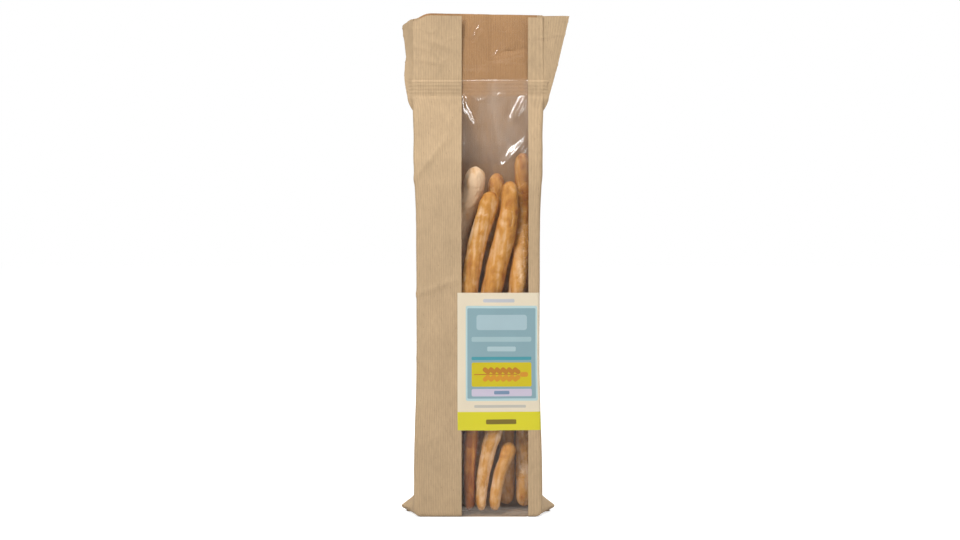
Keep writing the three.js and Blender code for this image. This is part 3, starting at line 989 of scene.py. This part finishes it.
def crust_relief(dough, seed):
    """Height of the crust over the smooth stick, and how much further it has baked there."""
    x, y, z = dough.T
    twist = z / TWIST + seed
    turned = np.column_stack(
        [x * np.cos(twist) - y * np.sin(twist), x * np.sin(twist) + y * np.cos(twist), z]
    )
    lumps = waves(dough, (9, 9, 15), seed)
    stretch = waves(turned, (3.4, 3.4, 34), seed + 20)
    fibres = waves(turned, (1.5, 1.5, 13), seed + 30)
    knots = waves(turned, (4.2, 4.2, 7), seed + 40)
    blisters = np.clip(waves(dough, (4.6, 4.6, 5.6), seed + 60) - 0.26, 0, None)
    tears = np.clip(1 - 9 * np.abs(waves(turned, (7, 7, 4.2), seed + 80)), 0, 1) ** 2
    tears *= eased(waves(dough, (16, 16, 22), seed + 90), 0.08, 0.3)
    pits = waves(dough, (1.5, 1.5, 1.9), seed + 100)
    height = 0.6 * lumps + 0.5 * stretch + 0.2 * fibres + 0.3 * knots + blisters - 0.6 * tears + 0.12 * pits
    colour = 0.16 * lumps + 0.26 * stretch + 0.14 * fibres + 0.16 * knots + 0.5 * blisters - 0.25 * tears
    return height, colour


def breadstick(number, settings, material):
    """A breadstick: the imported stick's form with the lumps, stretch marks and blisters of rolled dough."""
    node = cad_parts[f"grissino_{number}"]
    piece = bpy.data.objects.new(f"breadstick_{number}", node.data.copy())
    bpy.context.scene.collection.objects.link(piece)
    deselect()
    piece.select_set(True)
    bpy.context.view_layer.objects.active = piece
    bpy.ops.object.mode_set(mode="EDIT")
    bpy.ops.mesh.select_all(action="SELECT")
    bpy.ops.mesh.remove_doubles(threshold=0.01 * MM)
    bpy.ops.object.mode_set(mode="OBJECT")
    apply(piece, "SUBSURF", levels=1, render_levels=1)
    apply(piece, "REMESH", mode="VOXEL", voxel_size=settings.voxel)
    apply(piece, "SMOOTH", factor=0.5, iterations=4)
    mesh = piece.data
    co = np.empty(3 * len(mesh.vertices), np.float32)
    mesh.vertices.foreach_get("co", co)
    places = co.reshape(-1, 3) / MM
    normals = np.empty_like(co)
    mesh.vertex_normals.foreach_get("vector", normals)
    dough = straightened(places)
    height, colour = crust_relief(dough, settings.seed + 7 * number)
    places += normals.reshape(-1, 3) * (settings.relief * np.clip(height, *RELIEF_RANGE))[:, None]
    mesh.vertices.foreach_set("co", (places * MM).astype(np.float32).ravel())
    z = dough[:, 2]
    foot, tip = z.min(), z.max()
    # Besides the bake, the table holds painted shade for grissino_3's foot and painted light for grissino_1.
    bake = np.interp(z, (foot, 0.5 * (foot + tip), tip), BAKE_WITH_PAINTED_LIGHT[number - 1])
    bake += colour + END_BAKE * (1 - eased(np.minimum(z - foot, tip - z), 0, END_REACH))
    tone = mesh.attributes.new("bake", "FLOAT", "POINT")
    tone.data.foreach_set("value", np.clip(bake, 0, 1.2).astype(np.float32))
    flat = mesh.attributes.new("dough", "FLOAT_VECTOR", "POINT")
    flat.data.foreach_set("vector", ((dough + APART * number) * MM).astype(np.float32).ravel())
    mesh.update()
    mesh.materials.clear()
    mesh.materials.append(material)
    piece.select_set(True)
    bpy.ops.object.shade_smooth()
    return piece


# ---- Operators ----


class GRISSINI_OT_stage(bpy.types.Operator):
    """Pale floor, soft studio light and the camera"""

    bl_idname = "grissini.stage"
    bl_label = "Stage"

    def execute(self, context):
        scene = context.scene
        world = bpy.data.worlds.new("soft white studio")
        world.use_nodes = True
        tree = world.node_tree
        tree.nodes.clear()
        way = add_node(tree, "TexCoord").outputs["Generated"]
        up = add_node(tree, "SeparateXYZ", {0: way}).outputs["Z"]
        level, overhead = WORLD_LIGHT
        light = add_node(
            tree,
            "MapRange",
            {"Value": up, "From Min": 0.1, "From Max": 0.7, "To Min": level, "To Max": overhead},
        )
        seen = add_node(tree, "LightPath").outputs["Is Camera Ray"]
        strength = add_node(tree, "Math", {0: light, 1: seen}, operation="MAXIMUM")
        white = (1, 1, 1, 1)
        sky = add_node(tree, "Background", {"Color": white, "Strength": strength})
        add_node(tree, "OutputWorld", {"Surface": sky})
        scene.world = world

        deselect()
        bpy.ops.mesh.primitive_plane_add(size=FLOOR_SIZE, location=(0, 0, 0))
        floor = context.object
        floor.name = "floor"
        material, tree = new_material("matt white paper sweep")
        paper = add_node(tree, "BsdfDiffuse", {"Color": (*[FLOOR_GREY] * 3, 1)})
        seen = add_node(tree, "LightPath").outputs["Is Camera Ray"]
        shown = add_node(tree, "Math", {0: seen, 1: FLOOR_GLOW}, operation="MULTIPLY")
        glow = add_node(tree, "Emission", {"Color": white, "Strength": shown})
        both = add_node(tree, "AddShader", {0: paper, 1: glow})
        add_node(tree, "OutputMaterial", {"Surface": both})
        floor.data.materials.append(material)

        for name, place, size, power in LAMPS:
            lamp = bpy.data.lights.new(name, "AREA")
            lamp.shape, lamp.size, lamp.energy = "SQUARE", size, power
            shown = bpy.data.objects.new(name, lamp)
            scene.collection.objects.link(shown)
            shown.location = place
            shown.rotation_euler = (LAMP_AIM - Vector(place)).to_track_quat("-Z", "Y").to_euler()

        camera = bpy.data.cameras.new("camera")
        camera.sensor_width = SENSOR_WIDTH
        camera.lens = SENSOR_WIDTH * VIEW_DISTANCE / VIEW_WIDTH
        shown = bpy.data.objects.new("camera", camera)
        scene.collection.objects.link(shown)
        shown.location = CAMERA_PLACE
        shown.rotation_euler = (CAMERA_AIM - CAMERA_PLACE).to_track_quat("-Z", "Y").to_euler()
        scene.camera = shown
        scene.view_settings.view_transform = "Standard"
        return {"FINISHED"}


class GRISSINI_OT_kraft_bag(bpy.types.Operator):
    """The paper of the bag and the flap glued under its base"""

    bl_idname = "grissini.kraft_bag"
    bl_label = "Kraft paper bag"

    def execute(self, context):
        scene = context.scene
        form = bag_form()
        outside = kraft_material("ribbed kraft paper", scene.grissini_colours.kraft)
        # The inside gets the darker colour, painted shade for the inside of the bag.
        inside = kraft_material("kraft paper inside with painted shade", scene.grissini_colours.kraft_inside_shade)
        bag = sheet("kraft_bag", paper_points(form), scene.grissini_bag.paper / MM, outside, inside)
        # Past the creases both faces have the outside's colour, without the inside's painted shade,
        # as the gussets are folded double there.
        for face in bag.data.polygons:
            if abs(face.center.x) > GUSSET_FROM * scene.grissini_bag.width:
                face.material_index = 0
        finish_piece(bag, "kraft_paper", "paper_bag")

        # The flap is the outermost ply of the folded base.
        deselect()
        width = scene.grissini_bag.width - FLAP_INSET[0] * MM
        depth = scene.grissini_bag.depth - FLAP_INSET[1] * MM
        bpy.ops.mesh.primitive_plane_add(size=1, location=(0, 0, FLAP * MM))
        flap = context.object
        flap.name = flap.data.name = "base_flap"
        bpy.ops.transform.resize(value=(width, depth, 1))
        bpy.ops.object.transform_apply(location=True, rotation=False, scale=True)
        bpy.ops.object.mode_set(mode="EDIT")
        bpy.ops.mesh.bevel(offset=FLAP_CORNER * depth, offset_type="WIDTH", segments=1, affect="VERTICES")
        bpy.ops.object.mode_set(mode="OBJECT")
        spread = flap.data.uv_layers[0].data
        for corner, loop in zip(spread, flap.data.loops):
            corner.uv = flap.data.vertices[loop.vertex_index].co.xy
        apply(flap, "SOLIDIFY", thickness=FLAP * MM, offset=-1.0)
        flap.data.materials.append(outside)
        finish_piece(flap, "kraft_paper")
        return {"FINISHED"}


class GRISSINI_OT_film(bpy.types.Operator):
    """The clear film strip up the front"""

    bl_idname = "grissini.film"
    bl_label = "Window film"

    def execute(self, context):
        sizes = context.scene.grissini_bag
        film = sheet("clear_window", film_points(bag_form()), sizes.film / MM, film_material())
        finish_piece(film, "clear_film", "window_film")
        return {"FINISHED"}


class GRISSINI_OT_label(bpy.types.Operator):
    """The printed label over film and paper"""

    bl_idname = "grissini.label"
    bl_label = "Label"

    def execute(self, context):
        scene = context.scene
        points = label_points(bag_form(), scene.grissini_bag)
        columns, rows = points.shape[:2]
        width, height = lengths(points[:, rows // 2])[-1], lengths(points[columns // 2])[-1]
        material = label_material(scene.grissini_colours, width, height)
        piece = sheet("stuck_label", points, LABEL_THICKNESS, material)
        finish_piece(piece, "label_paper", "label")
        return {"FINISHED"}


class GRISSINI_OT_breadsticks(bpy.types.Operator):
    """The hand-rolled breadsticks in the bag"""

    bl_idname = "grissini.breadsticks"
    bl_label = "Breadsticks"

    def execute(self, context):
        scene = context.scene
        material = crust_material(scene.grissini_colours)
        for number in range(1, STICK_COUNT + 1):
            stick = breadstick(number, scene.grissini_sticks, material)
            finish_piece(stick, "baked_crust", f"grissino_{number}")
        return {"FINISHED"}


class GRISSINI_PT_panel(bpy.types.Panel):
    """Sizes, colours and the steps that make the bag"""

    bl_idname = "GRISSINI_PT_panel"
    bl_label = "Bag of grissini"
    bl_space_type = "VIEW_3D"
    bl_region_type = "UI"
    bl_category = "Grissini"

    def draw(self, context):
        for group in SETTINGS:
            column = self.layout.column(align=True)
            settings = getattr(context.scene, group)
            for name in settings.__annotations__:
                column.prop(settings, name)
        for operator in OPERATORS:
            self.layout.operator(operator.bl_idname)


SETTINGS = {
    "grissini_bag": GrissiniBagSizes,
    "grissini_colours": GrissiniColours,
    "grissini_sticks": GrissiniStickSettings,
}
OPERATORS = (
    GRISSINI_OT_stage,
    GRISSINI_OT_kraft_bag,
    GRISSINI_OT_film,
    GRISSINI_OT_label,
    GRISSINI_OT_breadsticks,
)


def register():
    for made in (*SETTINGS.values(), *OPERATORS, GRISSINI_PT_panel):
        bpy.utils.register_class(made)
    for name, group in SETTINGS.items():
        setattr(bpy.types.Scene, name, PointerProperty(type=group))


def unregister():
    for name in SETTINGS:
        delattr(bpy.types.Scene, name)
    for made in (GRISSINI_PT_panel, *reversed(OPERATORS), *SETTINGS.values()):
        bpy.utils.unregister_class(made)


def main():
    register()
    bpy.ops.grissini.stage()
    bpy.ops.grissini.kraft_bag()
    bpy.ops.grissini.film()
    bpy.ops.grissini.label()
    bpy.ops.grissini.breadsticks()


if __name__ == "__main__":
    main()
